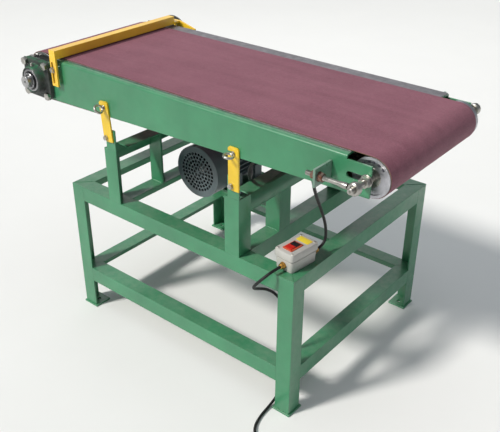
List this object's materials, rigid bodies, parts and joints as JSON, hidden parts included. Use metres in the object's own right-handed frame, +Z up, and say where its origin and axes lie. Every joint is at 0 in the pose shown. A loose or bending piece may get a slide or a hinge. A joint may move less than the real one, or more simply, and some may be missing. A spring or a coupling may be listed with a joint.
{
  "type": "belt sanding table",
  "caption": "Stand-mounted belt sanding table: a wide abrasive belt runs over a steel bed between a driven drum and a tensioned idler, with a fence, a motor and a push-button box.",
  "frame": {"origin": "centre of the floor anchor holes, at floor level", "axes": "+X along the belt towards the idler end, +Y away from the operator, +Z up"},
  "size_m": [1.2666, 0.967, 0.891],
  "materials": {
    "green_paint": "semi-gloss sprayed enamel with brush and weld marks",
    "yellow_paint": "semi-gloss sprayed enamel",
    "abrasive": "aluminium oxide grit on cloth backing",
    "bright_steel": "turned and brushed",
    "zinc_steel": "zinc plated with light rust",
    "cast_iron": "as cast with overspray",
    "platen_steel": "worn flat bar",
    "motor_paint": "dark hammer enamel",
    "box_plastic": "moulded, light grey",
    "red_plastic": "moulded, polished",
    "black_plastic": "moulded",
    "gland_brass": "turned, tarnished",
    "cable_rubber": "extruded sheath"
  },
  "bodies": {
    "frame": {"bearing_housing_front": "cast_iron", "bearing_housing_rear": "cast_iron", "bearing_inserts": "bright_steel", "bed_ties": "green_paint", "cable_glands": "gland_brass", "contact_block": "black_plastic", "fan_cowl": "motor_paint", "fence_clamps": "zinc_steel", "foot_plates": "green_paint", "frame_bolts": "zinc_steel", "lead_clips": "zinc_steel", "legs": "green_paint", "lock_nuts": "zinc_steel", "motor_end_shields": "motor_paint", "motor_frame": "motor_paint", "motor_lead": "cable_rubber", "motor_plate": "green_paint", "platen": "platen_steel", "portal_left": "green_paint", "portal_right": "green_paint", "sanding_belt": "abrasive", "side_plate_front": "green_paint", "side_plate_rear": "green_paint", "strap_pins": "zinc_steel", "stretcher_front": "green_paint", "stretcher_left": "green_paint", "stretcher_rear": "green_paint", "stretcher_right": "green_paint", "supply_coil": "cable_rubber", "supply_lead": "cable_rubber", "supply_plug": "cable_rubber", "switch_case": "box_plastic", "switch_lid": "box_plastic", "tension_brackets": "green_paint", "terminal_box": "motor_paint", "top_rail_front": "green_paint", "top_rail_left": "green_paint", "top_rail_rear": "green_paint", "top_rail_right": "green_paint", "v_belt": "cable_rubber"},
    "drive": {"drive_drum": "bright_steel", "drive_shaft": "bright_steel", "drive_pulley": "cast_iron"},
    "rotor": {"motor_shaft": "bright_steel", "cooling_fan": "black_plastic", "motor_pulley": "cast_iron"},
    "carriage": {"idler_shaft": "bright_steel", "tension_rods": "zinc_steel"},
    "idler": {"idler_drum": "bright_steel", "idler_bearings": "bright_steel"},
    "nut_front": {"adjusting_nut_front": "zinc_steel"},
    "nut_rear": {"adjusting_nut_rear": "zinc_steel"},
    "fence": {"fence_bar": "yellow_paint", "fence_plates": "yellow_paint"},
    "strap_left": {"strap_left": "yellow_paint"},
    "strap_right": {"strap_right": "yellow_paint"},
    "eye_left": {"eye_bolt_left": "zinc_steel"},
    "eye_right": {"eye_bolt_right": "zinc_steel"},
    "start": {"start_button": "black_plastic"},
    "stop": {"stop_button": "red_plastic"}
  },
  "joints": [
    {"name": "drive_spin", "type": "hinge", "parent": "frame", "child": "drive", "pos_m": [-0.525, -0.109, 0.7875], "axis": [0, 1, 0], "continuous": true},
    {"name": "motor_spin", "type": "hinge", "parent": "frame", "child": "rotor", "pos_m": [-0.108, 0.035, 0.512], "axis": [0, 1, 0], "continuous": true},
    {"name": "tension_slide", "type": "slide", "parent": "frame", "child": "carriage", "axis": [1, 0, 0], "range_m": [-0.015, 0]},
    {"name": "idler_spin", "type": "hinge", "parent": "carriage", "child": "idler", "pos_m": [0.617, -0.109, 0.811], "axis": [0, 1, 0], "continuous": true},
    {"name": "nut_front_turn", "type": "hinge", "parent": "frame", "child": "nut_front", "pos_m": [0.531, -0.405, 0.811], "axis": [1, 0, 0], "range_deg": [-5, 3100]},
    {"name": "nut_rear_turn", "type": "hinge", "parent": "frame", "child": "nut_rear", "pos_m": [0.531, 0.187, 0.811], "axis": [1, 0, 0], "range_deg": [-5, 3100]},
    {"name": "fence_height", "type": "slide", "parent": "frame", "child": "fence", "axis": [0, 0, 1], "range_m": [-0.002, 0.036]},
    {"name": "strap_left_swing", "type": "hinge", "parent": "frame", "child": "strap_left", "pos_m": [-0.24, -0.359, 0.671], "axis": [0, 1, 0], "range_deg": [0, 100]},
    {"name": "strap_right_swing", "type": "hinge", "parent": "frame", "child": "strap_right", "pos_m": [0.2315, -0.359, 0.671], "axis": [0, 1, 0], "range_deg": [0, 100]},
    {"name": "eye_left_turn", "type": "hinge", "parent": "frame", "child": "eye_left", "pos_m": [-0.24014, -0.375, 0.76434], "axis": [0, 1, 0], "range_deg": [-360, 15]},
    {"name": "eye_right_turn", "type": "hinge", "parent": "frame", "child": "eye_right", "pos_m": [0.2395, -0.375, 0.764], "axis": [0, 1, 0], "range_deg": [-360, 15]},
    {"name": "start_press", "type": "slide", "parent": "frame", "child": "start", "axis": [0, 0, -1], "range_m": [0, 0.0035], "stiffness_N_per_m": 350},
    {"name": "stop_press", "type": "slide", "parent": "frame", "child": "stop", "axis": [0, 0, -1], "range_m": [0, 0.0035], "stiffness_N_per_m": 350}
  ],
  "couplings": [
    {"joint": "idler_spin", "follows": "drive_spin", "ratio": 1.4845},
    {"joint": "motor_spin", "follows": "drive_spin", "ratio": 1.6361},
    {"joint": "nut_front_turn", "follows": "tension_slide", "rad_per_m": -3590.4},
    {"joint": "nut_rear_turn", "follows": "tension_slide", "rad_per_m": -3590.4}
  ]
}
